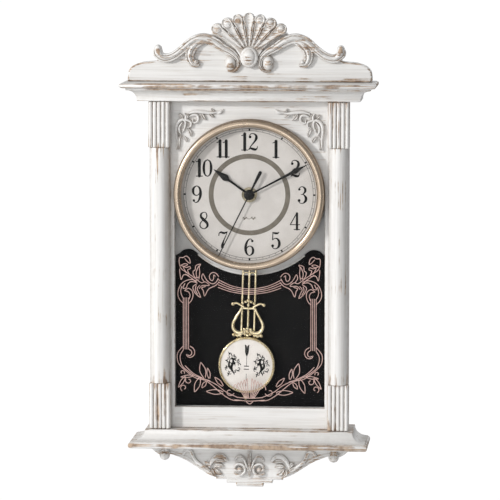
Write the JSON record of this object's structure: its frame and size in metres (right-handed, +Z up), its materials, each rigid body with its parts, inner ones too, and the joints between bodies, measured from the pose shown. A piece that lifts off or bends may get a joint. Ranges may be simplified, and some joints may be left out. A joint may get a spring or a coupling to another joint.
{
  "type": "pendulum wall clock",
  "caption": "Wall clock in a distressed white case with carved crest, half columns, round dial, glazed lower window and a swinging lyre pendulum.",
  "frame": {"origin": "on the wall plane, where the wall screw's shank carries the top of the keyhole hanger's slot", "axes": "+Z up; the back lies on the wall plane Y = 0 and the dial faces -Y; +X is to the right as seen from the front"},
  "size_m": [0.2542, 0.0646, 0.4774],
  "materials": {
    "case_paint": "satin white paint over wood, rubbed through to brown at edges and along the grain",
    "carving_resin": "cast resin in the same rubbed white paint, tan on its high points",
    "back_board": "plain hardboard outside, white paint inside",
    "black_card": "black satin card",
    "clear_plastic": "clear pane; the window carries pinkish gold line ornament",
    "dial_print": "warm grey-white printed dial with black numbers and a bronze ring",
    "antique_gold": "antique gold plating",
    "brass": "bright lacquered brass",
    "bob_enamel": "cream enamel with black sprigs",
    "black_hands": "black lacquer",
    "steel": "zinc plated",
    "movement_plastic": "black moulded plastic",
    "white_plastic": "white moulded plastic",
    "circuit_laminate": "green circuit laminate",
    "copper_winding": "enamelled copper wire",
    "battery_jacket": "plain jacket"
  },
  "bodies": {
    "case": {"front_frame": "case_paint", "side_rail_left": "case_paint", "side_rail_right": "case_paint", "top_rail": "case_paint", "bottom_rail": "case_paint", "crest_board": "case_paint", "cornice_moulding": "case_paint", "base_moulding": "case_paint", "apron_board": "case_paint", "fluted_block_top_left": "case_paint", "fluted_block_top_right": "case_paint", "fluted_block_bottom_left": "case_paint", "fluted_block_bottom_right": "case_paint", "half_column_left": "case_paint", "half_column_right": "case_paint", "drop_finial_left": "case_paint", "drop_finial_right": "case_paint", "crest_shell": "carving_resin", "crest_scroll_left": "carving_resin", "crest_scroll_right": "carving_resin", "apron_carving": "carving_resin", "spandrel_left": "carving_resin", "spandrel_right": "carving_resin", "back_panel": "back_board", "backdrop_sheet": "black_card", "window_pane": "clear_plastic", "lens": "clear_plastic", "dial_plate": "dial_print", "bezel": "antique_gold", "dial_spacer": "antique_gold", "threaded_post": "brass", "dial_nut": "brass", "hanger_plate": "steel", "hanger_screw_left": "steel", "hanger_screw_right": "steel", "panel_screw_top_left": "steel", "panel_screw_top_right": "steel", "panel_screw_bottom_left": "steel", "panel_screw_bottom_right": "steel", "movement_case": "movement_plastic", "movement_cover": "movement_plastic", "pendulum_drive_case": "movement_plastic", "circuit_board": "circuit_laminate", "stepper_coil": "copper_winding", "pendulum_coil": "copper_winding", "battery_aa": "battery_jacket"},
    "hour": {"hour_hand": "black_hands", "hour_tube": "brass"},
    "minute": {"minute_hand": "black_hands", "minute_arbor": "steel"},
    "second": {"second_hand": "black_hands", "second_arbor": "steel"},
    "setting": {"set_knob": "white_plastic"},
    "pendulum": {"pendulum_hanger": "white_plastic", "drive_magnet": "steel", "pendulum_rods": "brass", "pendulum_lyre": "brass", "bob_case": "brass", "bob_face": "bob_enamel", "bob_finial": "brass"}
  },
  "joints": [
    {"name": "minute_turn", "type": "hinge", "parent": "case", "child": "minute", "pos_m": [0, 0, -0.0623], "axis": [0, 1, 0], "continuous": true},
    {"name": "hour_turn", "type": "hinge", "parent": "case", "child": "hour", "pos_m": [0, 0, -0.0623], "axis": [0, 1, 0], "continuous": true},
    {"name": "second_turn", "type": "hinge", "parent": "case", "child": "second", "pos_m": [0, 0, -0.0623], "axis": [0, 1, 0], "continuous": true},
    {"name": "set_knob_turn", "type": "hinge", "parent": "case", "child": "setting", "pos_m": [0.015, 0, -0.05], "axis": [0, 1, 0], "continuous": true},
    {"name": "pendulum_swing", "type": "hinge", "parent": "case", "child": "pendulum", "pos_m": [0, -0.02, -0.098], "axis": [0, 1, 0], "range_deg": [-6.66, 3.34]}
  ],
  "couplings": [
    {"joint": "hour_turn", "follows": "minute_turn", "ratio": 0.083333},
    {"joint": "set_knob_turn", "follows": "minute_turn", "ratio": 1}
  ]
}
